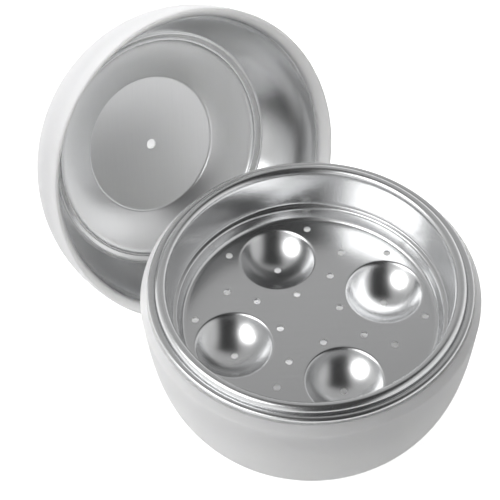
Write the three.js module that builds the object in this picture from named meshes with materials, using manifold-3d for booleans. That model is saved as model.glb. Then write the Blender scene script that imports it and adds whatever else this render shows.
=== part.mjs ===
// Microwave egg cooker: a plastic bowl for the water, a pressed egg tray that hangs in its rim, and a
// plastic dome lid with a pressed liner. The lid is off: it leans on its side behind the bowl.
// Millimetres, +Z up. The origin is the middle of the bowl's foot, on the surface that it stands on.

import * as THREE from 'three';
import { mergeVertices } from 'three/addons/utils/BufferGeometryUtils.js';
import Module from 'manifold-3d';

// Bowl
const BOWL_HEIGHT = 80.6;
const BOWL_WALL = 2.4;
const BOWL_DRAFT = 0.07;
const BOWL_SQUARENESS = 3.7;
const BOWL_CURVE_END = 2.2;
const SHOULDER_WIDTH = 4.1;
const SHOULDER_DROP = 2.4;
const LIP_WIDTH = 0.8;
const FOOT_HEIGHT = 4.9;
const FOOT_CHAMFER = 0.6;
const SEAT_DEPTH = 1.4;
const SEAT_WIDTH = 2.9;
const SEAT_HEIGHT = 2.6;
const SEAT_BRACKET_HEIGHT = 5;

// Egg tray
const TRAY_SHEET = 1;
const TRAY_FLOOR_RADIUS = 58.2;
const TRAY_FLOOR_FILLET = 1.6;
const TRAY_STEP_WIDTH = 3.4;
const TRAY_STEP_HEIGHT = 7;
const TRAY_STEP_ROUND = 1.8;
const TRAY_WALL_RUN = 2.2;
const TRAY_WALL_HEIGHT = 25;
const INNER_BEAD_WIDTH = 5.5;
const INNER_BEAD_RISE = 2.8;
const OUTER_BEAD_WIDTH = 3.2;
const OUTER_BEAD_RISE = 1.4;
const CURL_DROP = 1.3;

// Egg cups and steam holes in the tray's floor
const CUP_COUNT = 4;
const CUP_RADIUS = 17.5;
const CUP_DEPTH = 8.8;
const CUP_TO_WALL = 3.2;
const CUP_LIP = 0.8;
const FIRST_CUP_ANGLE = 111;
const HOLE_RADIUS = 1.65;
const MIDDLE_HOLES_TO_CUP = 5.2;
const HOLES_INSIDE_CUP_RING = 11.4;
const HOLES_OUTSIDE_CUP_RING = 3.5;
const EDGE_HOLES_TO_WALL = 5.8;
const EDGE_HOLE_SPREAD = 22.5;

// Lid dome
const LID_OVERHANG = 3.5;
const LID_HEIGHT = 59.5;
const LID_WALL = 2.4;
const LID_SQUARENESS = 2.65;
const LID_LIP_WIDTH = 5;
const LID_LIP_HEIGHT = 6.4;
const LID_EDGE_ROUND = 1.1;

// Lid liner
const LINER_SHEET = 1;
const LINER_HEADROOM = 8.3;
const LINER_FLANGE_WIDTH = 1.6;
const LINER_WALL_BULGE = 20;
const VENT_RADIUS = 2.45;
const DISC_RADIUS = 34.3;
const DISC_STEP = 0.8;
const DISC_EDGE = 1.4;
const CROWN_INSET = 17;
const CROWN_DROP = 9.2;
const RIB_WIDTH = 2.3;
const RIB_HEIGHT = 0.9;

// Fits
const SEAT_GAP = 0.3;
const TRAY_RIM_GAP = 0.3;
const LINER_GAP = 0.3;
const LID_GROUND_GAP = 0.3;
const LID_BOWL_GAP = 0.4;

// Where the lid lies: its bearing from the bowl, the way that its opening faces and its turn from upright
const LID_BEARING = 122.6;
const LID_FACING = -54.8;
const LID_TILT = 115.8;

// Fineness of the curved surfaces
const TURN_STEPS = 40;
const CUP_TURN_STEPS = 20;
const HOLE_SIDES = 8;
const CURVE_STEPS = 3;
const PROFILE_STEPS = 9;

const wasm = await Module();
wasm.setup();
const radians = THREE.MathUtils.degToRad;
const corner = (radius, height) => new THREE.Vector2(radius, height);

// Joins shared corners and drops the empty triangles that a revolve leaves on its axis.
function weld(geometry) {
  geometry.deleteAttribute('normal');
  geometry.deleteAttribute('uv');
  const welded = mergeVertices(geometry);
  const source = welded.index.array;
  const kept = [];
  for (let i = 0; i < source.length; i += 3) {
    const [a, b, c] = source.slice(i, i + 3);
    if (a !== b && b !== c && c !== a) kept.push(a, b, c);
  }
  welded.setIndex(kept);
  return welded;
}

// Revolves an outline of radius and height about +Z. The solid lies to the left of the outline.
function revolve(outline, steps = TURN_STEPS) {
  const geometry = new THREE.LatheGeometry(outline, steps);
  geometry.rotateX(Math.PI / 2);
  return weld(geometry);
}

function toSolid(geometry) {
  const vertProperties = new Float32Array(geometry.attributes.position.array);
  const triVerts = new Uint32Array(geometry.index.array);
  return new wasm.Manifold(new wasm.Mesh({ numProp: 3, vertProperties, triVerts }));
}

function toGeometry(solid) {
  const mesh = solid.getMesh();
  const geometry = new THREE.BufferGeometry();
  geometry.setAttribute('position', new THREE.BufferAttribute(mesh.vertProperties, 3));
  geometry.setIndex(new THREE.BufferAttribute(mesh.triVerts, 1));
  return geometry;
}

function makePiece(name, geometry, material) {
  geometry.computeVertexNormals();
  const piece = new THREE.Mesh(geometry, material);
  piece.name = name;
  return piece;
}

// The other face of a pressed sheet, to the right of the path along its first face.
function offsetPath(path, thickness) {
  return path.map((point, i) => {
    const before = path[Math.max(i - 1, 0)];
    const after = path[Math.min(i + 1, path.length - 1)];
    const along = after.clone().sub(before).normalize();
    return corner(point.x + along.y * thickness, point.y - along.x * thickness);
  });
}

// Radii and heights that several pieces share
const TRAY_STEP_RADIUS = TRAY_FLOOR_RADIUS + TRAY_STEP_WIDTH;
const TRAY_WALL_TOP_RADIUS = TRAY_STEP_RADIUS + TRAY_WALL_RUN;
const GROOVE_RADIUS = TRAY_WALL_TOP_RADIUS + INNER_BEAD_WIDTH;
const TRAY_RIM_RADIUS = GROOVE_RADIUS + OUTER_BEAD_WIDTH;
const SEAT_RADIUS = TRAY_RIM_RADIUS + TRAY_RIM_GAP;
const BOWL_RADIUS = SEAT_RADIUS + SHOULDER_WIDTH;
const WIDEST_Z = BOWL_HEIGHT - SHOULDER_DROP;
const BOWL_CURVE_DEPTH = WIDEST_Z - BOWL_CURVE_END;
const SEAT_Z = BOWL_HEIGHT - SEAT_DEPTH;
const TRAY_FLOOR_Z = SEAT_Z + SEAT_GAP + CURL_DROP - TRAY_WALL_HEIGHT;
const CUP_RING_RADIUS = TRAY_FLOOR_RADIUS - CUP_TO_WALL - CUP_RADIUS;
const MIDDLE_HOLE_RING = CUP_RING_RADIUS - CUP_RADIUS - MIDDLE_HOLES_TO_CUP;
const INNER_HOLE_RING = CUP_RING_RADIUS - HOLES_INSIDE_CUP_RING;
const OUTER_HOLE_RING = CUP_RING_RADIUS + HOLES_OUTSIDE_CUP_RING;
const EDGE_HOLE_RING = TRAY_FLOOR_RADIUS - EDGE_HOLES_TO_WALL;
const LID_RADIUS = TRAY_RIM_RADIUS + LID_OVERHANG;

// Radius of the bowl's side at a height, for its outer face or, with a wall given, its inner face.
function bowlRadius(height, wall = 0) {
  const below = WIDEST_Z - height;
  const share = Math.min(below / (BOWL_CURVE_DEPTH - wall), 1);
  const roundness = (1 - share ** BOWL_SQUARENESS) ** (1 / BOWL_SQUARENESS);
  return (BOWL_RADIUS - wall - BOWL_DRAFT * below) * roundness;
}

// Points up the bowl's side, closer together where it turns in to the foot.
function bowlSide(lowest, highest, wall) {
  const points = [];
  for (let i = 0; i <= PROFILE_STEPS; i += 1) {
    const height = highest - (highest - lowest) * Math.sin((1 - i / PROFILE_STEPS) * Math.PI / 2);
    points.push(corner(bowlRadius(height, wall), height));
  }
  return points;
}

function makeBowl() {
  const footRadius = bowlRadius(FOOT_HEIGHT);
  const shoulder = new THREE.Path();
  shoulder.moveTo(BOWL_RADIUS, WIDEST_Z);
  shoulder.quadraticCurveTo(BOWL_RADIUS, BOWL_HEIGHT, SEAT_RADIUS + LIP_WIDTH, BOWL_HEIGHT);
  const seatInside = SEAT_RADIUS - SEAT_WIDTH;
  const bracketZ = SEAT_Z - SEAT_HEIGHT - SEAT_BRACKET_HEIGHT;
  return revolve([
    corner(0, 0),
    corner(footRadius - FOOT_CHAMFER, 0),
    corner(footRadius, FOOT_CHAMFER),
    ...bowlSide(FOOT_HEIGHT, WIDEST_Z, 0),
    ...shoulder.getPoints(CURVE_STEPS).slice(1),
    corner(SEAT_RADIUS, BOWL_HEIGHT),
    corner(SEAT_RADIUS, SEAT_Z),
    corner(seatInside, SEAT_Z),
    corner(seatInside, SEAT_Z - SEAT_HEIGHT),
    ...bowlSide(FOOT_HEIGHT + BOWL_WALL, bracketZ, BOWL_WALL).reverse(),
    corner(footRadius - BOWL_WALL, BOWL_WALL),
    corner(0, BOWL_WALL),
  ]);
}

// The shown face of the tray from its middle to the edge of its rim, up from its floor.
function trayFace() {
  const floorEnd = TRAY_FLOOR_RADIUS - TRAY_FLOOR_FILLET;
  const stepFoot = TRAY_FLOOR_RADIUS + TRAY_FLOOR_FILLET / 2;
  const stepTop = TRAY_STEP_RADIUS - TRAY_STEP_ROUND;
  const wallFoot = TRAY_STEP_RADIUS + TRAY_STEP_ROUND / 2;
  const innerCrown = TRAY_WALL_TOP_RADIUS + INNER_BEAD_WIDTH / 2;
  const innerCrownZ = TRAY_WALL_HEIGHT + INNER_BEAD_RISE;
  const outerCrown = GROOVE_RADIUS + OUTER_BEAD_WIDTH / 2;
  const outerCrownZ = TRAY_WALL_HEIGHT + OUTER_BEAD_RISE;
  const face = new THREE.Path();
  face.moveTo(0, 0);
  face.lineTo(floorEnd, 0);
  face.quadraticCurveTo(TRAY_FLOOR_RADIUS, 0, stepFoot, TRAY_FLOOR_FILLET);
  face.lineTo(stepTop, TRAY_STEP_HEIGHT - TRAY_STEP_ROUND);
  face.quadraticCurveTo(stepTop, TRAY_STEP_HEIGHT, TRAY_STEP_RADIUS, TRAY_STEP_HEIGHT);
  face.quadraticCurveTo(wallFoot, TRAY_STEP_HEIGHT, wallFoot, TRAY_STEP_HEIGHT + TRAY_STEP_ROUND);
  face.lineTo(TRAY_WALL_TOP_RADIUS, TRAY_WALL_HEIGHT);
  face.quadraticCurveTo(TRAY_WALL_TOP_RADIUS, innerCrownZ, innerCrown, innerCrownZ);
  face.quadraticCurveTo(GROOVE_RADIUS, innerCrownZ, GROOVE_RADIUS, TRAY_WALL_HEIGHT);
  face.quadraticCurveTo(GROOVE_RADIUS, outerCrownZ, outerCrown, outerCrownZ);
  face.quadraticCurveTo(TRAY_RIM_RADIUS, outerCrownZ, TRAY_RIM_RADIUS, TRAY_WALL_HEIGHT);
  face.lineTo(TRAY_RIM_RADIUS, TRAY_WALL_HEIGHT - CURL_DROP);
  return face.getPoints(CURVE_STEPS);
}

// A solid cap below the floor that bulges as deep as a cup, grown by the sheet for the cup's underside.
function cupCap(grow, top) {
  const ball = (CUP_RADIUS ** 2 + CUP_DEPTH ** 2) / (2 * CUP_DEPTH) + grow;
  const centre = ball - CUP_DEPTH - grow;
  const lip = grow ? 0 : CUP_LIP;
  const rimAngle = Math.acos((centre + lip) / ball);
  const points = [];
  for (let i = 0; i <= CURVE_STEPS; i += 1) {
    const angle = rimAngle * i / CURVE_STEPS;
    points.push(corner(ball * Math.sin(angle), centre - ball * Math.cos(angle)));
  }
  if (lip) points.push(corner(CUP_RADIUS + lip, 0));
  points.push(corner(points.at(-1).x, top), corner(0, top));
  return revolve(points, CUP_TURN_STEPS);
}

function onRing(geometry, radius, angle) {
  const turned = radians(angle);
  return geometry.clone().translate(radius * Math.cos(turned), radius * Math.sin(turned), 0);
}

function makeTray() {
  const shown = trayFace();
  const under = offsetPath(shown, TRAY_SHEET);
  const cupUnderside = cupCap(TRAY_SHEET, -TRAY_SHEET / 2);
  const cupHollow = cupCap(0, TRAY_SHEET);
  const drill = new THREE.CylinderGeometry(HOLE_RADIUS, HOLE_RADIUS, 4 * CUP_DEPTH, HOLE_SIDES);
  drill.rotateX(Math.PI / 2);
  const hole = weld(drill);
  let tray = toSolid(revolve([...under, ...shown.reverse()]));
  for (let cup = 0; cup < CUP_COUNT; cup += 1) {
    const step = 360 / CUP_COUNT;
    const angle = FIRST_CUP_ANGLE + cup * step;
    const holes = [[CUP_RING_RADIUS, angle], [MIDDLE_HOLE_RING, angle]];
    for (const radius of [INNER_HOLE_RING, OUTER_HOLE_RING]) holes.push([radius, angle + step / 2]);
    for (const spread of [EDGE_HOLE_SPREAD, -EDGE_HOLE_SPREAD]) holes.push([EDGE_HOLE_RING, angle + spread]);
    tray = tray.add(toSolid(onRing(cupUnderside, CUP_RING_RADIUS, angle)));
    tray = tray.subtract(toSolid(onRing(cupHollow, CUP_RING_RADIUS, angle)));
    for (const [radius, at] of holes) tray = tray.subtract(toSolid(onRing(hole, radius, at)));
  }
  return toGeometry(tray);
}

// Radius of the lid's dome at a height over its rim, for its outer face or, with a wall given, its inner.
function domeRadius(height, wall = 0) {
  const share = Math.min(height / (LID_HEIGHT - wall), 1);
  return (LID_RADIUS - wall) * (1 - share ** LID_SQUARENESS) ** (1 / LID_SQUARENESS);
}

// Points from a height up to the top of the dome, closer together near the top.
function domeSide(lowest, wall) {
  const points = [];
  for (let i = 0; i <= PROFILE_STEPS; i += 1) {
    const height = lowest + (LID_HEIGHT - wall - lowest) * Math.sin(i / PROFILE_STEPS * Math.PI / 2);
    points.push(corner(domeRadius(height, wall), height));
  }
  return points;
}

// Where the liner's flange sits in the lid's rim, and how far the liner reaches into the dome
const LID_MOUTH_RADIUS = LID_RADIUS - LID_LIP_WIDTH;
const FLANGE_Z = LID_LIP_HEIGHT + LINER_GAP;
const FLANGE_RADIUS = LID_MOUTH_RADIUS + LINER_FLANGE_WIDTH;
const LINER_DEPTH = LID_HEIGHT - LID_WALL - LINER_HEADROOM;
const CROWN_RADIUS = LID_MOUTH_RADIUS - CROWN_INSET;
const GROOVE_TOP_Z = FLANGE_Z + LINER_SHEET + LINER_GAP;

function lidEdge() {
  const edge = new THREE.Path();
  edge.moveTo(LID_MOUTH_RADIUS, LID_LIP_HEIGHT);
  edge.lineTo(LID_MOUTH_RADIUS, LID_EDGE_ROUND / 2);
  edge.quadraticCurveTo(LID_MOUTH_RADIUS, 0, LID_MOUTH_RADIUS + LID_EDGE_ROUND / 2, 0);
  edge.lineTo(LID_RADIUS - LID_EDGE_ROUND, 0);
  edge.quadraticCurveTo(LID_RADIUS, 0, LID_RADIUS, LID_EDGE_ROUND);
  return edge.getPoints(CURVE_STEPS);
}

function makeLidShell() {
  const grooveRadius = FLANGE_RADIUS + LINER_GAP;
  return revolve([
    ...domeSide(GROOVE_TOP_Z, LID_WALL).reverse(),
    corner(grooveRadius, GROOVE_TOP_Z),
    corner(grooveRadius, LID_LIP_HEIGHT),
    ...lidEdge(),
    ...domeSide(LID_EDGE_ROUND, 0).slice(1),
  ]);
}

// One round of the pair of stiffening ribs, standing into the lid from the liner's slope.
function addRib(face, from, to) {
  const inward = corner(from.y - to.y, to.x - from.x).normalize().multiplyScalar(-2 * RIB_HEIGHT);
  const peak = from.clone().add(to).multiplyScalar(0.5).add(inward);
  face.quadraticCurveTo(peak.x, peak.y, to.x, to.y);
}

// The shown face of the liner from the vent to the edge of its flange, up from the lid's rim.
function linerFace() {
  const discEnd = DISC_RADIUS - DISC_EDGE / 2;
  const slopeStart = corner(DISC_RADIUS + DISC_EDGE / 2, LINER_DEPTH - DISC_STEP);
  const ribStart = corner(CROWN_RADIUS, LINER_DEPTH - CROWN_DROP);
  const ribStep = ribStart.clone().sub(slopeStart).normalize().multiplyScalar(RIB_WIDTH);
  const ribMiddle = ribStart.clone().add(ribStep);
  const ribEnd = ribMiddle.clone().add(ribStep);
  const face = new THREE.Path();
  face.moveTo(VENT_RADIUS, LINER_DEPTH);
  face.lineTo(discEnd, LINER_DEPTH);
  face.quadraticCurveTo(DISC_RADIUS, LINER_DEPTH, slopeStart.x, slopeStart.y);
  face.lineTo(ribStart.x, ribStart.y);
  addRib(face, ribStart, ribMiddle);
  addRib(face, ribMiddle, ribEnd);
  face.quadraticCurveTo(LID_MOUTH_RADIUS, LINER_WALL_BULGE, LID_MOUTH_RADIUS, FLANGE_Z + LINER_SHEET);
  face.quadraticCurveTo(LID_MOUTH_RADIUS, FLANGE_Z, LID_MOUTH_RADIUS + LINER_SHEET, FLANGE_Z);
  face.lineTo(FLANGE_RADIUS, FLANGE_Z);
  return face.getPoints(CURVE_STEPS);
}

function makeLidLiner() {
  const shown = linerFace();
  const back = offsetPath(shown, -LINER_SHEET);
  return revolve([...shown, ...back.reverse(), shown[0]]);
}

// The bowl's outer radius at any height, and nothing above or below it.
function bowlReach(height) {
  if (height < 0 || height > BOWL_HEIGHT) return 0;
  if (height > WIDEST_Z) {
    const along = 1 - Math.sqrt(1 - (height - WIDEST_Z) / SHOULDER_DROP);
    return BOWL_RADIUS - (SHOULDER_WIDTH - LIP_WIDTH) * along ** 2;
  }
  return bowlRadius(Math.max(height, FOOT_HEIGHT));
}

// Least gap between the bowl and the tilted lid's outside with the lid's rim centred at a place.
function gapToBowl(lid, place) {
  let least = Infinity;
  for (const { x: radius, y: height } of [...lidEdge(), ...domeSide(LID_EDGE_ROUND, 0)]) {
    for (let turn = 0; turn < 360; turn += 5) {
      const angle = radians(turn);
      const point = new THREE.Vector3(radius * Math.cos(angle), radius * Math.sin(angle), height);
      point.applyEuler(lid.rotation).add(place);
      least = Math.min(least, Math.hypot(point.x, point.y) - bowlReach(point.z));
    }
  }
  return least;
}

// Lays the lid on its side: its dome on the surface, and its rim drawn up to the bowl's underside.
function placeLid(lid) {
  const tilt = radians(LID_TILT);
  lid.rotation.set(0, -tilt, radians(LID_FACING), 'ZYX');
  const depths = [...lidEdge(), ...domeSide(LID_EDGE_ROUND, 0)]
    .map(({ x: radius, y: height }) => radius * Math.sin(tilt) - height * Math.cos(tilt));
  const height = LID_GROUND_GAP + Math.max(...depths);
  const bearing = radians(LID_BEARING);
  const placeAt = (away) => new THREE.Vector3(away * Math.cos(bearing), away * Math.sin(bearing), height);
  let near = BOWL_RADIUS;
  let far = BOWL_RADIUS + 2 * LID_RADIUS;
  while (far - near > SEAT_GAP / 10) {
    const middle = (near + far) / 2;
    if (gapToBowl(lid, placeAt(middle)) < LID_BOWL_GAP) near = middle;
    else far = middle;
  }
  lid.position.copy(placeAt(far));
}

const plastic = new THREE.MeshStandardMaterial({ color: 0xf4f4f2, roughness: 0.35, metalness: 0 });
const trayMetal = new THREE.MeshStandardMaterial({ color: 0xb9bbbd, roughness: 0.18, metalness: 1 });
const linerMetal = new THREE.MeshStandardMaterial({ color: 0xc6c7c8, roughness: 0.32, metalness: 1 });

const tray = makePiece('egg_tray', makeTray(), trayMetal);
tray.position.z = TRAY_FLOOR_Z;

const lid = new THREE.Group();
lid.add(makePiece('lid_shell', makeLidShell(), plastic));
lid.add(makePiece('lid_liner', makeLidLiner(), linerMetal));
placeLid(lid);

const cooker = new THREE.Group();
cooker.add(makePiece('base_shell', makeBowl(), plastic), tray, lid);

export default cooker;
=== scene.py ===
# %% [markdown]
# # A microwave egg cooker
# This cooker is four pieces: a white moulded bowl for water, a pressed aluminium tray with egg cups, a
# white moulded lid and the aluminium liner inside it. The lid is off and lies on its side behind the
# bowl. Every piece is round, so each one is drawn as half a cross-section and spun about its axis.

# %% Load the measured model
from math import acos, cos, pi, radians, sin

import bpy
from mathutils import Euler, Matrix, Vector


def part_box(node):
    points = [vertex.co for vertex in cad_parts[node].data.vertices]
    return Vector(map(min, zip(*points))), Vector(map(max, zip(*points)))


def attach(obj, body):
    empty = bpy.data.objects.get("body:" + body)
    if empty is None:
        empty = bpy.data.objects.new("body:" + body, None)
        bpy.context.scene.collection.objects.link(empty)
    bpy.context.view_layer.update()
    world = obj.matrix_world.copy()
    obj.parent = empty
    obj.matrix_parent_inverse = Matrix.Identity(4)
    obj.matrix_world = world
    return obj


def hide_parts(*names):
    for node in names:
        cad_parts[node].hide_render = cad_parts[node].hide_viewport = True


MM = 0.001
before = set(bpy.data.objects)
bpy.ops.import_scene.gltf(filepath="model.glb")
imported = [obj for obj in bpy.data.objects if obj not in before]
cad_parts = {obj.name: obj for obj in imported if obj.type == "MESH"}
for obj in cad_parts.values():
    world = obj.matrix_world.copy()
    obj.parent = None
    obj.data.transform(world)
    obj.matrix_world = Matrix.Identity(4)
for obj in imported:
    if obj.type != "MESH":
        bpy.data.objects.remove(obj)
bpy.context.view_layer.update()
print("nodes:", sorted(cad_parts))

# %% [markdown]
# ## The camera
# The picture looks down on the cooker at about 51 degrees through a long lens. The tray's middle isn't in
# the middle of the picture, so the camera stands a little to its left and above it, and it leans
# slightly. Placing the camera along its own right, up and forward directions keeps those offsets easy to
# read.

# %% Place the camera
ELEVATION = radians(51.05)
ROLL = radians(2.19)
DISTANCE = 735 * MM
TRAY_RIGHT_OF_AXIS = 27.4 * MM
TRAY_BELOW_AXIS = 30.9 * MM
FOCAL_PIXELS = 1611.6
PICTURE_PIXELS = 500
SENSOR_WIDTH = 36
TRAY_RIM_ABOVE_FLOOR = 27.8 * MM

tray_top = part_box("egg_tray")[1]
tray_floor_z = tray_top[2] - TRAY_RIM_ABOVE_FLOOR
forward = Vector((0, cos(ELEVATION), -sin(ELEVATION)))
level_up = Vector((0, sin(ELEVATION), cos(ELEVATION)))
right = cos(ROLL) * Vector((1, 0, 0)) - sin(ROLL) * level_up
up = sin(ROLL) * Vector((1, 0, 0)) + cos(ROLL) * level_up
aim = Vector((0, 0, tray_floor_z)) - right * TRAY_RIGHT_OF_AXIS + up * TRAY_BELOW_AXIS

bpy.ops.object.select_all(action='DESELECT')
bpy.ops.object.camera_add(location=aim - forward * DISTANCE)
camera = bpy.context.object
camera.name = "camera"
camera.rotation_euler = (-forward).to_track_quat('Z', 'Y').to_euler()
camera.rotation_euler.rotate_axis('Z', -ROLL)
camera.data.sensor_width = SENSOR_WIDTH
camera.data.lens = FOCAL_PIXELS / PICTURE_PIXELS * SENSOR_WIDTH
bpy.context.scene.camera = camera
print("camera at", [round(v, 3) for v in camera.location], "lens", round(camera.data.lens, 1))

# %% [markdown]
# ## Drawing and spinning a cross-section
# A potter's wheel, a metal spinner and a lathe all make round things from one outline. Blender's Spin
# does the same. The outline starts as a plane primitive merged to one corner, and each further corner is
# extruded from the last. A bent corner is a short curve with one control point, and a sheet's second face
# is its path moved sideways.

# %% Draw outlines
def curve(start, control, end, steps=8):
    points = []
    for i in range(1, steps + 1):
        t = i / steps
        a, b, c = (1 - t) ** 2, 2 * t * (1 - t), t ** 2
        x = a * start[0] + b * control[0] + c * end[0]
        y = a * start[1] + b * control[1] + c * end[1]
        points.append((x, y))
    return points


def offset_path(path, thickness):
    moved = []
    for i, (x, y) in enumerate(path):
        before = Vector(path[max(i - 1, 0)])
        after = Vector(path[min(i + 1, len(path) - 1)])
        along = (after - before).normalized()
        moved.append((x + along.y * thickness, y - along.x * thickness))
    return moved


def lift(path, height):
    return [(x, y + height) for x, y in path]


print("a bent corner has", len(curve((0, 0), (1, 0), (1, 1))), "points")

# %% Spin and finish outlines
MERGE_DISTANCE = 0.002 * MM
SMOOTH_ANGLE = radians(35)
ROUND_STEPS = 160


def spin_outline(name, outline, steps, middle=(0, 0, 0)):
    bpy.ops.object.select_all(action='DESELECT')
    centre = Vector(middle) * MM
    first = centre + Vector((outline[0][0], 0, outline[0][1])) * MM
    bpy.ops.mesh.primitive_plane_add(size=MM, location=first)
    piece = bpy.context.object
    piece.name = name
    bpy.ops.object.mode_set(mode='EDIT')
    bpy.ops.mesh.select_mode(type='VERT')
    bpy.ops.mesh.select_all(action='SELECT')
    bpy.ops.mesh.merge(type='CENTER')
    for before, after in zip(outline, outline[1:]):
        move = Vector((after[0] - before[0], 0, after[1] - before[1])) * MM
        bpy.ops.mesh.extrude_region_move(TRANSFORM_OT_translate={"value": move})
    bpy.ops.mesh.select_all(action='SELECT')
    bpy.ops.mesh.spin(steps=steps, angle=2 * pi, center=centre, axis=(0, 0, 1))
    bpy.ops.mesh.select_all(action='SELECT')
    bpy.ops.mesh.remove_doubles(threshold=MERGE_DISTANCE)
    bpy.ops.mesh.normals_make_consistent(inside=False)
    bpy.ops.object.mode_set(mode='OBJECT')
    bpy.ops.object.transform_apply(location=True, rotation=True, scale=True)
    return piece


def finish_surface(piece, material, body, node):
    bpy.ops.object.select_all(action='DESELECT')
    piece.select_set(True)
    bpy.context.view_layer.objects.active = piece
    bpy.ops.object.shade_smooth_by_angle(angle=SMOOTH_ANGLE)
    piece.data.materials.clear()
    piece.data.materials.append(material)
    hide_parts(node)
    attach(piece, body)
    print(piece.name, "has", len(piece.data.polygons), "faces")


print("a full turn has", ROUND_STEPS, "steps")

# %% [markdown]
# ## Small tools for materials
# A finish is a few nodes: a noise on the piece's own coordinates, a range that the noise moves a value
# in, two colours that it mixes and a bump. A function for each keeps the materials below short enough to
# read.

# %% Make material nodes
def texture_coordinates(nodes, links, scale=(1, 1, 1)):
    coordinates = nodes.new("ShaderNodeTexCoord")
    mapping = nodes.new("ShaderNodeMapping")
    mapping.inputs["Scale"].default_value = scale
    links.new(coordinates.outputs["Object"], mapping.inputs["Vector"])
    return mapping.outputs["Vector"]


def add_noise(nodes, links, vector, scale, detail=3):
    noise = nodes.new("ShaderNodeTexNoise")
    noise.inputs["Scale"].default_value = scale
    noise.inputs["Detail"].default_value = detail
    links.new(vector, noise.inputs["Vector"])
    return noise.outputs["Fac"]


def add_range(nodes, links, value, low, high):
    span = nodes.new("ShaderNodeMapRange")
    span.inputs["To Min"].default_value = low
    span.inputs["To Max"].default_value = high
    links.new(value, span.inputs["Value"])
    return span.outputs["Result"]


def add_colours(nodes, links, value, first, second):
    mix = nodes.new("ShaderNodeMix")
    mix.data_type = 'RGBA'
    mix.inputs["A"].default_value = (*first, 1)
    mix.inputs["B"].default_value = (*second, 1)
    links.new(value, mix.inputs["Factor"])
    return mix.outputs["Result"]


def add_bump(nodes, links, value, strength, distance):
    bump = nodes.new("ShaderNodeBump")
    bump.inputs["Strength"].default_value = strength
    bump.inputs["Distance"].default_value = distance
    links.new(value, bump.inputs["Height"])
    return bump.outputs["Normal"]


def add_math(nodes, links, operation, first, second):
    step = nodes.new("ShaderNodeMath")
    step.operation = operation
    links.new(first, step.inputs[0])
    links.new(second, step.inputs[1])
    return step.outputs["Value"]


def new_material(name):
    material = bpy.data.materials.new(name)
    material.use_nodes = True
    nodes = material.node_tree.nodes
    print("material", name)
    return material, nodes, material.node_tree.links, nodes["Principled BSDF"]

# %% [markdown]
# ## White moulded plastic
# Polypropylene is never perfectly flat white. The mould leaves a very fine grain, and light sinks in a
# little. A slow noise varies the white by a few hundredths, and a fine noise varies the gloss and gives a
# faint bump. Subsurface scattering lets light travel about a wall's thickness, which softens the shading
# as in the real plastic.

# %% White plastic
PLASTIC_SHADES = ((0.86, 0.86, 0.855), (0.90, 0.90, 0.895))
PLASTIC_ROUGHNESS = (0.32, 0.42)
PLASTIC_CLOUDS = 25
PLASTIC_GRAIN = 1800
PLASTIC_GRAIN_DETAIL = 2
PLASTIC_BUMP = 0.04
PLASTIC_BUMP_DEPTH = 0.0001
PLASTIC_IOR = 1.49
LIGHT_SINKS_IN = 9 * MM
LIGHT_SPREAD = (1, 1, 0.95)


def make_white_plastic():
    material, nodes, links, shader = new_material("white_plastic")
    vector = texture_coordinates(nodes, links)
    slow = add_noise(nodes, links, vector, PLASTIC_CLOUDS)
    fine = add_noise(nodes, links, vector, PLASTIC_GRAIN, PLASTIC_GRAIN_DETAIL)
    links.new(add_colours(nodes, links, slow, *PLASTIC_SHADES), shader.inputs["Base Color"])
    links.new(add_range(nodes, links, fine, *PLASTIC_ROUGHNESS), shader.inputs["Roughness"])
    links.new(add_bump(nodes, links, fine, PLASTIC_BUMP, PLASTIC_BUMP_DEPTH), shader.inputs["Normal"])
    shader.inputs["IOR"].default_value = PLASTIC_IOR
    shader.inputs["Subsurface Weight"].default_value = 1
    shader.inputs["Subsurface Radius"].default_value = LIGHT_SPREAD
    shader.inputs["Subsurface Scale"].default_value = LIGHT_SINKS_IN
    return material


white_plastic = make_white_plastic()

# %% [markdown]
# ## The bowl
# The bowl's side is a tall, square-shouldered curve: nearly straight under the rim, then turning in
# quickly to a flat foot. A superellipse gives that with one exponent. Above the widest line the side
# turns over a small edge and slopes in to a narrow lip. Just inside the lip is the seat that the tray's
# rim rests on.

# %% Model the bowl
BOWL_HEIGHT = 79.4
BOWL_WALL = 2.4
BOWL_DRAFT = 0.07
BOWL_CURVE_END = 2.2
BOWL_SQUARENESS = 3.7
SEAT_RADIUS = 72.8
SEAT_DEPTH = 0.2
SEAT_WIDTH = 2.9
SEAT_HEIGHT = 2.6
BRACKET_HEIGHT = 5
LIP_WIDTH = 0.5
LIP_STEPS = 4
SHOULDER_WIDTH = 3.3
SHOULDER_DROP = 4.8
SHOULDER_EDGE_WIDTH = 0.9
SHOULDER_EDGE_HEIGHT = 2
FOOT_HEIGHT = 4.9
FOOT_ROUND = 0.8
FOOT_STEPS = 4
SIDE_STEPS = 40
BOWL_RADIUS = SEAT_RADIUS + SHOULDER_WIDTH
WIDEST_Z = BOWL_HEIGHT - SHOULDER_DROP
BOWL_CURVE_DEPTH = WIDEST_Z - BOWL_CURVE_END


def bowl_radius(height, wall=0):
    below = WIDEST_Z - height
    share = min(below / (BOWL_CURVE_DEPTH - wall), 1)
    roundness = (1 - share ** BOWL_SQUARENESS) ** (1 / BOWL_SQUARENESS)
    return (BOWL_RADIUS - wall - BOWL_DRAFT * below) * roundness


def bowl_side(lowest, highest, wall):
    rise = highest - lowest
    heights = [highest - rise * sin((1 - i / SIDE_STEPS) * pi / 2) for i in range(SIDE_STEPS + 1)]
    return [(bowl_radius(height, wall), height) for height in heights]


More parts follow.
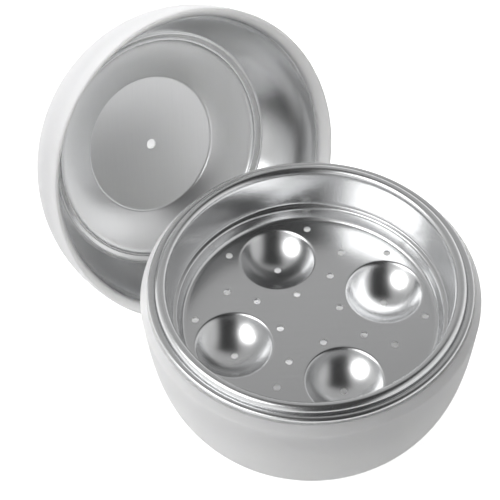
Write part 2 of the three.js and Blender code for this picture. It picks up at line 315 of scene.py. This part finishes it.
def bowl_outline():
    foot = bowl_radius(FOOT_HEIGHT)
    widest = (BOWL_RADIUS, WIDEST_Z)
    shoulder_edge = (BOWL_RADIUS - SHOULDER_EDGE_WIDTH, WIDEST_Z + SHOULDER_EDGE_HEIGHT)
    lip_edge = (SEAT_RADIUS + LIP_WIDTH, BOWL_HEIGHT)
    seat_z = BOWL_HEIGHT - SEAT_DEPTH
    seat_inside = SEAT_RADIUS - SEAT_WIDTH
    bracket_z = seat_z - SEAT_HEIGHT - BRACKET_HEIGHT
    outline = [(0, 0), (foot - FOOT_ROUND, 0)]
    outline += curve((foot - FOOT_ROUND, 0), (foot, 0), (foot, FOOT_ROUND), FOOT_STEPS)
    outline += bowl_side(FOOT_HEIGHT, WIDEST_Z, 0)
    outline += curve(widest, (BOWL_RADIUS, WIDEST_Z + SHOULDER_EDGE_HEIGHT / 2), shoulder_edge)
    outline += [lip_edge]
    outline += curve(lip_edge, (SEAT_RADIUS, BOWL_HEIGHT), (SEAT_RADIUS, seat_z), LIP_STEPS)
    outline += [(seat_inside, seat_z), (seat_inside, seat_z - SEAT_HEIGHT)]
    outline += bowl_side(FOOT_HEIGHT + BOWL_WALL, bracket_z, BOWL_WALL)[::-1]
    outline += [(foot - BOWL_WALL, BOWL_WALL), (0, BOWL_WALL)]
    return outline


bowl = spin_outline("bowl", bowl_outline(), ROUND_STEPS)
finish_surface(bowl, white_plastic, "base", "base_shell")

# %% [markdown]
# ## Polished aluminium sheet
# The tray is pressed from rolled sheet. Rolling leaves faint straight streaks that run one way across the
# floor. A noise that is stretched along one axis gives the streaks. It changes the colour only slightly,
# and a slow noise changes the gloss, so that the cups stay bright with soft-edged reflections.

# %% Tray metal
TRAY_SHADES = ((0.72, 0.725, 0.73), (0.78, 0.785, 0.79))
TRAY_ROUGHNESS = (0.22, 0.28)
TRAY_STREAKS = (40, 1600, 40)
TRAY_CLOUDS = 30
STREAK_SCALE = 1
STREAK_DETAIL = 2
STREAK_BUMP = 0.02
STREAK_BUMP_DEPTH = 0.00005


def add_streaks(nodes, links, stretch):
    return add_noise(nodes, links, texture_coordinates(nodes, links, stretch), STREAK_SCALE, STREAK_DETAIL)


def make_tray_metal():
    material, nodes, links, shader = new_material("polished_aluminium")
    streaks = add_streaks(nodes, links, TRAY_STREAKS)
    slow = add_noise(nodes, links, texture_coordinates(nodes, links), TRAY_CLOUDS)
    links.new(add_colours(nodes, links, streaks, *TRAY_SHADES), shader.inputs["Base Color"])
    links.new(add_range(nodes, links, slow, *TRAY_ROUGHNESS), shader.inputs["Roughness"])
    links.new(add_bump(nodes, links, streaks, STREAK_BUMP, STREAK_BUMP_DEPTH), shader.inputs["Normal"])
    shader.inputs["Metallic"].default_value = 1
    return material


tray_metal = make_tray_metal()

# %% [markdown]
# ## The egg tray's wall and rim
# From the flat floor the sheet turns up over a low step, climbs the wall, rolls over a wide bead, dips
# into a narrow groove and ends in a smaller bead with a curled edge. The floor stays one flat face, so
# that it mirrors evenly and the cup openings can be cut cleanly.

# %% Model the tray's wall and floor
SHEET = 1.0
FLOOR_RADIUS = 58.2
FLOOR_FILLET = 1.6
STEP_WIDTH = 3.4
STEP_HEIGHT = 7
STEP_ROUND = 1.8
WALL_RUN = 2.2
WALL_HEIGHT = 25
INNER_BEAD_WIDTH = 5.5
INNER_BEAD_RISE = 3.8
OUTER_BEAD_WIDTH = 3.2
OUTER_BEAD_RISE = 0.9
CURL_DROP = 1.3
FLAT_FLOOR_RADIUS = 56
PLACE_TOLERANCE = 0.01 * MM


def tray_path():
    step = FLOOR_RADIUS + STEP_WIDTH
    wall_top = step + WALL_RUN
    groove = wall_top + INNER_BEAD_WIDTH
    rim = groove + OUTER_BEAD_WIDTH
    step_foot = (FLOOR_RADIUS + FLOOR_FILLET / 2, FLOOR_FILLET)
    step_top = (step - STEP_ROUND, STEP_HEIGHT - STEP_ROUND)
    wall_foot = (step + STEP_ROUND / 2, STEP_HEIGHT + STEP_ROUND)
    inner_top = WALL_HEIGHT + INNER_BEAD_RISE
    outer_top = WALL_HEIGHT + OUTER_BEAD_RISE
    inner_crown = (wall_top + INNER_BEAD_WIDTH / 2, inner_top)
    outer_crown = (groove + OUTER_BEAD_WIDTH / 2, outer_top)
    path = [(FLAT_FLOOR_RADIUS, 0), (FLOOR_RADIUS - FLOOR_FILLET, 0)]
    path += curve(path[-1], (FLOOR_RADIUS, 0), step_foot)
    path += [step_top]
    path += curve(step_top, (step_top[0], STEP_HEIGHT), (step, STEP_HEIGHT))
    path += curve((step, STEP_HEIGHT), (wall_foot[0], STEP_HEIGHT), wall_foot)
    path += [(wall_top, WALL_HEIGHT)]
    path += curve((wall_top, WALL_HEIGHT), (wall_top, inner_top), inner_crown)
    path += curve(inner_crown, (groove, inner_top), (groove, WALL_HEIGHT))
    path += curve((groove, WALL_HEIGHT), (groove, outer_top), outer_crown)
    path += curve(outer_crown, (rim, outer_top), (rim, WALL_HEIGHT))
    path += [(rim, WALL_HEIGHT - CURL_DROP)]
    return path


def on_floor_edge(corner, height):
    off_ring = abs(corner.xy.length - FLAT_FLOOR_RADIUS * MM)
    return off_ring < PLACE_TOLERANCE and abs(corner.z - height * MM) < PLACE_TOLERANCE


def close_floor(height):
    bpy.ops.object.mode_set(mode='EDIT')
    bpy.ops.mesh.select_mode(type='EDGE')
    bpy.ops.mesh.select_all(action='DESELECT')
    bpy.ops.object.mode_set(mode='OBJECT')
    for edge in tray.data.edges:
        ends = [tray.data.vertices[i].co for i in edge.vertices]
        edge.select = all(on_floor_edge(end, height) for end in ends)
    bpy.ops.object.mode_set(mode='EDIT')
    bpy.ops.mesh.edge_face_add()
    bpy.ops.object.mode_set(mode='OBJECT')


floor_z = tray_floor_z / MM
shown = lift(tray_path(), floor_z)
tray = spin_outline("egg_tray_sheet", shown + offset_path(shown, SHEET)[::-1], ROUND_STEPS)
close_floor(floor_z)
close_floor(floor_z - SHEET)
print("tray sheet faces:", len(tray.data.polygons))

# %% [markdown]
# ## Cup openings and steam holes
# A press stamps four shallow round cups, and a punch makes the steam holes: one in each cup, one ring
# near the middle, two holes between each pair of cups and a ring near the edge. All the punches are plain
# cylinders, joined to one tool, so a single Boolean cuts every opening in the floor.

# %% Cut the openings
CUP_COUNT = 4
CUP_RADIUS = 17.5
CUP_RING = 37.5
CUP_LIP = 0.8
CUP_FLAT = 0.6
CUP_STEPS = 96
FIRST_CUP_ANGLE = 111
HOLE_RADIUS = 1.65
HOLE_RING_AT_CUPS = 14.8
HOLE_RINGS_BETWEEN_CUPS = (26.1, 41)
HOLE_RING_AT_EDGE = 52.4
EDGE_HOLE_SPREAD = 22.5
HOLE_STEPS = 32
CUTTER_HEIGHT = 6
OPENING_RADIUS = CUP_RADIUS + CUP_LIP + CUP_FLAT


def on_ring(radius, angle):
    return (radius * cos(radians(angle)), radius * sin(radians(angle)))


def add_cutter(radius, place, steps):
    bpy.ops.mesh.primitive_cylinder_add(vertices=steps, radius=radius * MM, depth=CUTTER_HEIGHT * MM,
                                        location=(place[0] * MM, place[1] * MM, tray_floor_z))
    return bpy.context.object


bpy.ops.object.select_all(action='DESELECT')
cup_places = []
cutters = []
for cup in range(CUP_COUNT):
    step = 360 / CUP_COUNT
    angle = FIRST_CUP_ANGLE + cup * step
    cup_places.append(on_ring(CUP_RING, angle))
    cutters.append(add_cutter(OPENING_RADIUS, cup_places[-1], CUP_STEPS))
    holes = [on_ring(HOLE_RING_AT_CUPS, angle)]
    holes += [on_ring(radius, angle + step / 2) for radius in HOLE_RINGS_BETWEEN_CUPS]
    holes += [on_ring(HOLE_RING_AT_EDGE, angle + spread) for spread in (EDGE_HOLE_SPREAD, -EDGE_HOLE_SPREAD)]
    cutters += [add_cutter(HOLE_RADIUS, place, HOLE_STEPS) for place in holes]

bpy.ops.object.select_all(action='DESELECT')
for cutter in cutters:
    cutter.select_set(True)
bpy.context.view_layer.objects.active = cutters[0]
bpy.ops.object.join()
punch = bpy.context.object

bpy.ops.object.select_all(action='DESELECT')
bpy.context.view_layer.objects.active = tray
tray.select_set(True)
cut = tray.modifiers.new("openings", 'BOOLEAN')
cut.operation = 'DIFFERENCE'
cut.solver = 'EXACT'
cut.object = punch
bpy.ops.object.modifier_apply(modifier=cut.name)
bpy.data.objects.remove(punch)
print("openings cut:", len(cutters))

# %% [markdown]
# ## The egg cups
# Each cup is part of a ball with a small rolled lip. It is spun on its own and put into its opening,
# which has the same number of corners. The opening's narrow cut face is deleted first, and merging the
# corners then welds the cup to the floor, so no seam shows.

# %% Weld in the cups
CUP_DEPTH = 8.8
CUP_SIDE_STEPS = 20
CUP_LIP_STEPS = 6
CUP_LIP_LEAN = 0.1
UPRIGHT_NORMAL = 0.1
OPENING_TOLERANCE = 0.1 * MM
WELD_DISTANCE = 0.004 * MM


def on_cut_face(polygon):
    if abs(polygon.normal.z) > UPRIGHT_NORMAL:
        return False
    distances = [(polygon.center.xy - Vector(place) * MM).length for place in cup_places]
    return any(abs(distance - OPENING_RADIUS * MM) < OPENING_TOLERANCE for distance in distances)


def cup_outline():
    ball = (CUP_RADIUS ** 2 + CUP_DEPTH ** 2) / (2 * CUP_DEPTH)
    middle = ball - CUP_DEPTH
    rim_angle = acos((middle + CUP_LIP) / ball)
    hole_angle = HOLE_RADIUS / ball
    turn = hole_angle - rim_angle
    angles = [rim_angle + turn * i / CUP_SIDE_STEPS for i in range(CUP_SIDE_STEPS + 1)]
    lip = (CUP_RADIUS + CUP_LIP, 0)
    ball_edge = (ball * sin(rim_angle), -CUP_LIP)
    upper = [(OPENING_RADIUS, 0), lip]
    upper += curve(lip, (CUP_RADIUS + CUP_LIP_LEAN, 0), ball_edge, CUP_LIP_STEPS)
    upper += [(ball * sin(a), middle - ball * cos(a)) for a in angles[1:]]
    return lift(upper + offset_path(upper, -SHEET)[::-1], floor_z)


bpy.ops.object.mode_set(mode='EDIT')
bpy.ops.mesh.select_mode(type='FACE')
bpy.ops.mesh.select_all(action='DESELECT')
bpy.ops.object.mode_set(mode='OBJECT')
for polygon in tray.data.polygons:
    polygon.select = on_cut_face(polygon)
bpy.ops.object.mode_set(mode='EDIT')
bpy.ops.mesh.delete(type='FACE')
bpy.ops.object.mode_set(mode='OBJECT')

cups = [spin_outline("cup", cup_outline(), CUP_STEPS, (*place, 0)) for place in cup_places]
bpy.ops.object.select_all(action='DESELECT')
for cup in cups:
    cup.select_set(True)
tray.select_set(True)
bpy.context.view_layer.objects.active = tray
bpy.ops.object.join()
bpy.ops.object.mode_set(mode='EDIT')
bpy.ops.mesh.select_all(action='SELECT')
bpy.ops.mesh.remove_doubles(threshold=WELD_DISTANCE)
bpy.ops.mesh.normals_make_consistent(inside=False)
bpy.ops.object.mode_set(mode='OBJECT')
finish_surface(tray, tray_metal, "tray", "egg_tray")

# %% [markdown]
# ## The lid
# The lid is a dome with a thick rim whose inner face is a bevel, and a groove behind the bevel holds the
# liner. It is modelled upright, rim down, where its heights are easy to read. Then it is turned on its
# side and moved until its box is the measured lid's box, and the turn is applied to the mesh.

# %% Model the lid's dome
LID_RADIUS = 76
LID_HEIGHT = 59.5
LID_WALL = 2.4
LID_SQUARENESS = 2.65
LID_LIP_WIDTH = 5
LID_LIP_HEIGHT = 6.4
LID_EDGE_ROUND = 1.1
BEVEL_STEPS = 4
EDGE_STEPS = 6
LINER_SHEET = 1
LINER_FLANGE = 1.6
FIT_GAP = 0.3
LID_FACING = -54.8
LID_TILT = 115.8
MOUTH_RADIUS = LID_RADIUS - LID_LIP_WIDTH
FLANGE_Z = LID_LIP_HEIGHT + FIT_GAP
FLANGE_RADIUS = MOUTH_RADIUS + LINER_FLANGE


def dome_side(lowest, wall):
    points = []
    for i in range(SIDE_STEPS + 1):
        height = lowest + (LID_HEIGHT - wall - lowest) * sin(i / SIDE_STEPS * pi / 2)
        share = min(height / (LID_HEIGHT - wall), 1)
        points.append(((LID_RADIUS - wall) * (1 - share ** LID_SQUARENESS) ** (1 / LID_SQUARENESS), height))
    return points


def lid_outline():
    groove = FLANGE_RADIUS + FIT_GAP
    groove_top = FLANGE_Z + LINER_SHEET + FIT_GAP
    half = LID_EDGE_ROUND / 2
    bevel_foot = (LID_RADIUS - LID_EDGE_ROUND - half, half)
    edge_middle = (LID_RADIUS - half, 0)
    outline = dome_side(groove_top, LID_WALL)[::-1]
    outline += [(groove, groove_top), (groove, LID_LIP_HEIGHT), (MOUTH_RADIUS, LID_LIP_HEIGHT), bevel_foot]
    outline += curve(bevel_foot, (LID_RADIUS - LID_EDGE_ROUND, 0), edge_middle, BEVEL_STEPS)
    outline += curve(edge_middle, (LID_RADIUS, 0), (LID_RADIUS, LID_EDGE_ROUND), EDGE_STEPS)
    outline += dome_side(LID_EDGE_ROUND, 0)[1:]
    return outline


def place_on_side(piece, place):
    bpy.ops.object.select_all(action='DESELECT')
    piece.select_set(True)
    bpy.context.view_layer.objects.active = piece
    piece.rotation_euler = lid_turn
    piece.location = place
    bpy.ops.object.transform_apply(location=True, rotation=True, scale=True)


def box_middle(corners):
    low = Vector([min(corner[axis] for corner in corners) for axis in range(3)])
    high = Vector([max(corner[axis] for corner in corners) for axis in range(3)])
    return (low + high) / 2


lid_turn = Euler((0, -radians(LID_TILT), radians(LID_FACING)))
lid = spin_outline("lid_dome", lid_outline(), ROUND_STEPS)
turned_corners = [lid_turn.to_matrix() @ vertex.co for vertex in lid.data.vertices]
lid_place = box_middle(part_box("lid_shell")) - box_middle(turned_corners)
place_on_side(lid, lid_place)
finish_surface(lid, white_plastic, "lid", "lid_shell")
print("lid rim centre at", [round(v / MM, 1) for v in lid_place])

# %% [markdown]
# ## Satin aluminium sheet
# The liner is a softer, satin sheet. Its middle disc and the wall outside the ribs are painted darker, a
# painted shade, and the ring between them is painted near white, painted light for a brighter reflection.
# The wall is also glossier. The material finds the distance from the lid's axis: a Mapping node turns the
# coordinates upright again, and the distance picks the disc's, the ring's or the wall's colour and gloss
# with a narrow blend.

# %% Measure from the lid's axis
DISC_RADIUS = 34.3
CROWN_RADIUS = 54
ZONE_BLEND = 0.8


def add_distance_from_lid_axis(nodes, links):
    coordinates = nodes.new("ShaderNodeTexCoord")
    upright = nodes.new("ShaderNodeMapping")
    upright.vector_type = 'TEXTURE'
    upright.inputs["Location"].default_value = lid_place
    upright.inputs["Rotation"].default_value = lid_turn
    links.new(coordinates.outputs["Object"], upright.inputs["Vector"])
    flat = nodes.new("ShaderNodeVectorMath")
    flat.operation = 'MULTIPLY'
    flat.inputs[1].default_value = (1, 1, 0)
    links.new(upright.outputs["Vector"], flat.inputs[0])
    distance = nodes.new("ShaderNodeVectorMath")
    distance.operation = 'LENGTH'
    links.new(flat.outputs["Vector"], distance.inputs[0])
    return distance.outputs["Value"]


def add_zone(nodes, links, distance, edge):
    zone = nodes.new("ShaderNodeMapRange")
    zone.inputs["From Min"].default_value = (edge - ZONE_BLEND) * MM
    zone.inputs["From Max"].default_value = (edge + ZONE_BLEND) * MM
    links.new(distance, zone.inputs["Value"])
    return zone.outputs["Result"]


def join_colours(nodes, links, value, first, second):
    mix = nodes.new("ShaderNodeMix")
    mix.data_type = 'RGBA'
    links.new(first, mix.inputs["A"])
    links.new(second, mix.inputs["B"])
    links.new(value, mix.inputs["Factor"])
    return mix.outputs["Result"]


print("liner zones change at", DISC_RADIUS, "and", CROWN_RADIUS, "mm")

# %% Liner metal
# The disc's and the wall's darker colours are painted shade; the ring's near-white colours are painted
# light.
DISC_PAINTED_SHADE = ((0.76, 0.765, 0.77), (0.80, 0.805, 0.81))
RING_PAINTED_LIGHT = ((0.94, 0.945, 0.95), (0.97, 0.975, 0.98))
WALL_PAINTED_SHADE = ((0.78, 0.785, 0.79), (0.82, 0.825, 0.83))
LINER_ROUGHNESS = (0.30, 0.36)
WALL_ROUGHNESS_SHARE = 0.6
LINER_STREAKS = (1500, 60, 60)
LINER_CLOUDS = 18


def make_liner_metal():
    material, nodes, links, shader = new_material("satin_aluminium_painted_light")
    streaks = add_streaks(nodes, links, LINER_STREAKS)
    slow = add_noise(nodes, links, texture_coordinates(nodes, links), LINER_CLOUDS)
    # Painted shade on the disc and the wall, painted light on the ring.
    disc = add_colours(nodes, links, streaks, *DISC_PAINTED_SHADE)
    ring = add_colours(nodes, links, streaks, *RING_PAINTED_LIGHT)
    wall = add_colours(nodes, links, streaks, *WALL_PAINTED_SHADE)
    distance = add_distance_from_lid_axis(nodes, links)
    inner = join_colours(nodes, links, add_zone(nodes, links, distance, DISC_RADIUS), disc, ring)
    outside = add_zone(nodes, links, distance, CROWN_RADIUS)
    links.new(join_colours(nodes, links, outside, inner, wall), shader.inputs["Base Color"])
    satin = add_range(nodes, links, slow, *LINER_ROUGHNESS)
    share = add_range(nodes, links, outside, 1, WALL_ROUGHNESS_SHARE)
    links.new(add_math(nodes, links, 'MULTIPLY', satin, share), shader.inputs["Roughness"])
    links.new(add_bump(nodes, links, streaks, STREAK_BUMP, STREAK_BUMP_DEPTH), shader.inputs["Normal"])
    shader.inputs["Metallic"].default_value = 1
    return material


liner_metal = make_liner_metal()

# %% [markdown]
# ## The lid's liner
# The liner is pressed to a dome: a flat disc with a vent in the middle, a shallow slope, a rounded edge,
# two narrow ribs that stiffen it, and a wall that bulges out to a flange. The flange sits in the groove
# of the lid's rim. It is spun as one path with a second path behind it, and then turned and moved with
# the lid.

# %% Model the liner
LINER_DEPTH = 48.8
LINER_BULGE_Z = 20
LINER_WALL_STEPS = 20
FLANGE_STEPS = 5
VENT_RADIUS = 2.45
DISC_STEP = 0.8
DISC_EDGE = 1.4
CROWN_DROP = 9.2
CROWN_ROUND = 3
CROWN_TURN = 0.8
RIB_WIDTH = 1.4
RIB_HEIGHT = 0.6
RIB_GAP = 1.8


def rib(start, end):
    slope = (end - start).normalized()
    inward = Vector((slope.y, -slope.x)) * 2 * RIB_HEIGHT
    return curve(start, (start + end) / 2 + inward, end)


def liner_path():
    slope_start = Vector((DISC_RADIUS + DISC_EDGE / 2, LINER_DEPTH - DISC_STEP))
    crown_edge = Vector((CROWN_RADIUS, LINER_DEPTH - CROWN_DROP))
    along = (crown_edge - slope_start).normalized()
    round_start = crown_edge - along * CROWN_ROUND
    first_rib = crown_edge + Vector((0, -CROWN_TURN))
    second_rib = first_rib + along * (RIB_WIDTH + RIB_GAP)
    rib_end = second_rib + along * RIB_WIDTH
    wall_end = (MOUTH_RADIUS, FLANGE_Z + LINER_SHEET)
    flange_start = (MOUTH_RADIUS + LINER_SHEET, FLANGE_Z)
    path = [(VENT_RADIUS, LINER_DEPTH), (DISC_RADIUS - DISC_EDGE / 2, LINER_DEPTH)]
    path += curve(path[-1], (DISC_RADIUS, LINER_DEPTH), slope_start)
    path += [tuple(round_start)]
    path += curve(round_start, crown_edge, first_rib)
    path += rib(first_rib, first_rib + along * RIB_WIDTH)
    path += rib(second_rib, rib_end)
    path += curve(rib_end, (MOUTH_RADIUS, LINER_BULGE_Z), wall_end, LINER_WALL_STEPS)
    path += curve(wall_end, (MOUTH_RADIUS, FLANGE_Z), flange_start, FLANGE_STEPS)
    path += [(FLANGE_RADIUS, FLANGE_Z)]
    return path


liner_shown = liner_path()
liner_back = offset_path(liner_shown, -LINER_SHEET)[::-1]
liner = spin_outline("lid_liner_sheet", liner_shown + liner_back + liner_shown[:1], ROUND_STEPS)
place_on_side(liner, lid_place)
finish_surface(liner, liner_metal, "lid", "lid_liner")

# %% [markdown]
# ## The floor
# The cooker stands on a plain white sweep that the lamps light. Emission that only the camera sees in full
# makes it white in the picture, and most of the shadow with it. Its mirror image in the metal gets a
# quarter of that emission, so that the metal isn't washed out.

# %% Floor
FLOOR_SIZE = 1.6
FLOOR_WHITE = (0.9, 0.9, 0.9, 1)
FLOOR_ROUGHNESS = 0.9
FLOOR_GLOW = 0.8
MIRRORED_GLOW = 0.25
WHITE = (1, 1, 1, 1)


def make_floor():
    bpy.ops.object.select_all(action='DESELECT')
    bpy.ops.mesh.primitive_plane_add(size=FLOOR_SIZE, location=(0, 0, 0))
    floor = bpy.context.object
    floor.name = "floor"
    material, nodes, links, shader = new_material("white_sweep")
    shader.inputs["Base Color"].default_value = FLOOR_WHITE
    shader.inputs["Roughness"].default_value = FLOOR_ROUGHNESS
    path = nodes.new("ShaderNodeLightPath")
    mirrored = add_range(nodes, links, path.outputs["Is Glossy Ray"], 0, MIRRORED_GLOW)
    seen = add_math(nodes, links, 'MAXIMUM', path.outputs["Is Camera Ray"], mirrored)
    links.new(add_range(nodes, links, seen, 0, FLOOR_GLOW), shader.inputs["Emission Strength"])
    shader.inputs["Emission Color"].default_value = WHITE
    floor.data.materials.append(material)


make_floor()

# %% [markdown]
# ## The world
# Beyond the floor the camera sees plain white. The light that the world sends to the object is much weaker,
# because the lamps do that work. Light Path tells the two kinds of ray apart.

# %% World
AMBIENT = 0.16
LIGHT_BOUNCES = 12


def make_world():
    world = bpy.data.worlds.new("white_studio")
    bpy.context.scene.world = world
    world.use_nodes = True
    nodes = world.node_tree.nodes
    links = world.node_tree.links
    path = nodes.new("ShaderNodeLightPath")
    seen = add_math(nodes, links, 'ADD', path.outputs["Is Camera Ray"], path.outputs["Is Glossy Ray"])
    seen = add_math(nodes, links, 'ADD', seen, path.outputs["Is Transmission Ray"])
    links.new(add_range(nodes, links, seen, AMBIENT, 1), nodes["Background"].inputs["Strength"])
    nodes["Background"].inputs["Color"].default_value = WHITE


make_world()
bpy.context.scene.view_settings.view_transform = 'Standard'
bpy.context.scene.cycles.diffuse_bounces = LIGHT_BOUNCES
print("world light", AMBIENT)

# %% [markdown]
# ## The soft lights
# One large soft light stands high on the left. It is the only lamp that the metal mirrors, as the round
# highlight in each cup. A weak light low on the left and a wide one behind fill the shadows, and
# reflections don't see them.

# %% Soft lights
LIGHT_DISTANCE = 1.2
LEFT_LIGHT = {"azimuth": 203, "elevation": 50, "width": 1.0, "height": 0.85, "watts": 5.5}
LEFT_FILL = {"azimuth": 195, "elevation": 18, "width": 1.2, "height": 0.6, "watts": 1.8}
BACK_FILL = {"azimuth": 100, "elevation": 55, "width": 1.2, "height": 1.2, "watts": 11.5}


def direction(azimuth, elevation):
    flat = cos(radians(elevation))
    return Vector((flat * cos(radians(azimuth)), flat * sin(radians(azimuth)), sin(radians(elevation))))


def add_soft_light(name, azimuth, elevation, width, height, watts):
    aim_point = Vector((0, 0, tray_floor_z))
    place = aim_point + direction(azimuth, elevation) * LIGHT_DISTANCE
    bpy.ops.object.light_add(type='AREA', location=place)
    light = bpy.context.object
    light.name = name
    light.data.shape = 'ELLIPSE'
    light.data.size = width
    light.data.size_y = height
    light.data.energy = watts
    light.rotation_euler = (light.location - aim_point).to_track_quat('Z', 'Y').to_euler()
    print(name, watts, "W")
    return light


add_soft_light("left_soft_light", **LEFT_LIGHT)
add_soft_light("left_fill_light", **LEFT_FILL).visible_glossy = False
add_soft_light("back_fill_light", **BACK_FILL).visible_glossy = False

# %% [markdown]
# ## Light inside the shells
# The steam holes and the vent look pale, not black. The likely reason is daylight that comes through the
# thin white plastic. Two weak lights stand in for it here: a soft one in the bowl, and a flat disc between
# the liner and the dome that shines on the dome's inside. Neither the camera nor a reflection sees them.

# %% Inner lights
BOWL_LIGHT_PLACE = (-8 * MM, 26 * MM, 25 * MM)
BOWL_LIGHT_RADIUS = 15 * MM
BOWL_LIGHT_WATTS = 0.03
LID_LIGHT_ABOVE_LINER = 1.5
LID_LIGHT_WIDTH = 64 * MM
LID_LIGHT_WATTS = 0.0055


def hide_lamp(light):
    light.visible_camera = False
    light.visible_glossy = False
    print(light.name, light.data.energy, "W")


def add_light_in_bowl():
    bpy.ops.object.light_add(type='POINT', location=BOWL_LIGHT_PLACE)
    light = bpy.context.object
    light.name = "bowl_light"
    light.data.energy = BOWL_LIGHT_WATTS
    light.data.shadow_soft_size = BOWL_LIGHT_RADIUS
    hide_lamp(light)


def add_light_behind_vent():
    lid_axis = lid_turn.to_matrix() @ Vector((0, 0, 1))
    height = (LINER_DEPTH + LINER_SHEET + LID_LIGHT_ABOVE_LINER) * MM
    bpy.ops.object.light_add(type='AREA', location=lid_place + lid_axis * height)
    light = bpy.context.object
    light.name = "lid_light"
    light.data.shape = 'DISK'
    light.data.size = LID_LIGHT_WIDTH
    light.data.energy = LID_LIGHT_WATTS
    light.rotation_euler = (-lid_axis).to_track_quat('Z', 'Y').to_euler()
    hide_lamp(light)


add_light_in_bowl()
add_light_behind_vent()

# %% [markdown]
# ## The studio tent
# Polished metal shows what is around it, so the studio has a round tent that only reflections see. It is
# grey, white near the horizon and a little darker high at the back. A dark band runs overhead from the
# front, and it gives the dark half of each cup beside the bright highlight. Each tone is a soft-edged
# patch around one direction.

# %% Tent tones
def add_tone_patch(nodes, links, outward, azimuth, elevation, inner, outer):
    facing = nodes.new("ShaderNodeVectorMath")
    facing.operation = 'DOT_PRODUCT'
    facing.inputs[1].default_value = direction(azimuth, elevation)
    links.new(outward, facing.inputs[0])
    patch = nodes.new("ShaderNodeMapRange")
    patch.interpolation_type = 'SMOOTHSTEP'
    patch.inputs["From Min"].default_value = cos(radians(outer))
    patch.inputs["From Max"].default_value = cos(radians(inner))
    links.new(facing.outputs["Value"], patch.inputs["Value"])
    return patch.outputs["Result"]


STRIP_TO_RIGHT = 11
STRIP_INNER = 14
STRIP_OUTER = 31
STRIP_REACH = {"azimuth": 284, "elevation": 55, "inner": 52, "outer": 68}


def add_strip(nodes, links, outward):
    across = nodes.new("ShaderNodeVectorMath")
    across.operation = 'DOT_PRODUCT'
    across.inputs[1].default_value = (1, 0, 0)
    links.new(outward, across.inputs[0])
    aside = nodes.new("ShaderNodeMath")
    aside.operation = 'SUBTRACT'
    aside.inputs[1].default_value = sin(radians(STRIP_TO_RIGHT))
    links.new(across.outputs["Value"], aside.inputs[0])
    size = nodes.new("ShaderNodeMath")
    size.operation = 'ABSOLUTE'
    links.new(aside.outputs["Value"], size.inputs[0])
    band = nodes.new("ShaderNodeMapRange")
    band.interpolation_type = 'SMOOTHSTEP'
    band.inputs["From Min"].default_value = sin(radians(STRIP_OUTER))
    band.inputs["From Max"].default_value = sin(radians(STRIP_INNER))
    links.new(size.outputs["Value"], band.inputs["Value"])
    reach = add_tone_patch(nodes, links, outward, **STRIP_REACH)
    return add_math(nodes, links, 'MINIMUM', band.outputs["Result"], reach)


def mix_tone(nodes, links, patch, tone, below):
    mix = nodes.new("ShaderNodeMix")
    mix.inputs["B"].default_value = tone
    links.new(patch, mix.inputs["Factor"])
    links.new(below, mix.inputs["A"])
    return mix.outputs["Result"]


print("dark band", 2 * STRIP_OUTER, "degrees wide with its soft edges")

# %% Studio tent
TENT_RADIUS = 2.0
TENT_SEGMENTS = 64
TENT_RINGS = 32
TENT_TONE = 0.62
HORIZON = {"azimuth": 0, "elevation": -90, "inner": 101, "outer": 121}
HORIZON_TONE = 1
HIGH_BACK = {"azimuth": 90, "elevation": 55, "inner": 25, "outer": 55}
HIGH_BACK_TONE = 0.46
STRIP_TONE = 0.03
BLACK = (0, 0, 0, 1)
UNSEEN_BY = ("camera", "diffuse", "transmission", "volume_scatter", "shadow")


def make_tent():
    bpy.ops.object.select_all(action='DESELECT')
    bpy.ops.mesh.primitive_uv_sphere_add(segments=TENT_SEGMENTS, ring_count=TENT_RINGS, radius=TENT_RADIUS,
                                         location=(0, 0, 0))
    tent = bpy.context.object
    tent.name = "studio_tent"
    bpy.ops.object.shade_smooth()
    material, nodes, links, shader = new_material("tent_cloth")
    coordinates = nodes.new("ShaderNodeTexCoord")
    unit = nodes.new("ShaderNodeVectorMath")
    unit.operation = 'NORMALIZE'
    links.new(coordinates.outputs["Object"], unit.inputs[0])
    outward = unit.outputs["Vector"]
    grey = nodes.new("ShaderNodeValue")
    grey.outputs["Value"].default_value = TENT_TONE
    horizon = add_tone_patch(nodes, links, outward, **HORIZON)
    tone = mix_tone(nodes, links, horizon, HORIZON_TONE, grey.outputs["Value"])
    tone = mix_tone(nodes, links, add_tone_patch(nodes, links, outward, **HIGH_BACK), HIGH_BACK_TONE, tone)
    tone = mix_tone(nodes, links, add_strip(nodes, links, outward), STRIP_TONE, tone)
    links.new(tone, shader.inputs["Emission Strength"])
    shader.inputs["Emission Color"].default_value = WHITE
    shader.inputs["Base Color"].default_value = BLACK
    shader.inputs["Specular IOR Level"].default_value = 0
    tent.data.materials.append(material)
    for kind in UNSEEN_BY:
        setattr(tent, "visible_" + kind, False)


make_tent()
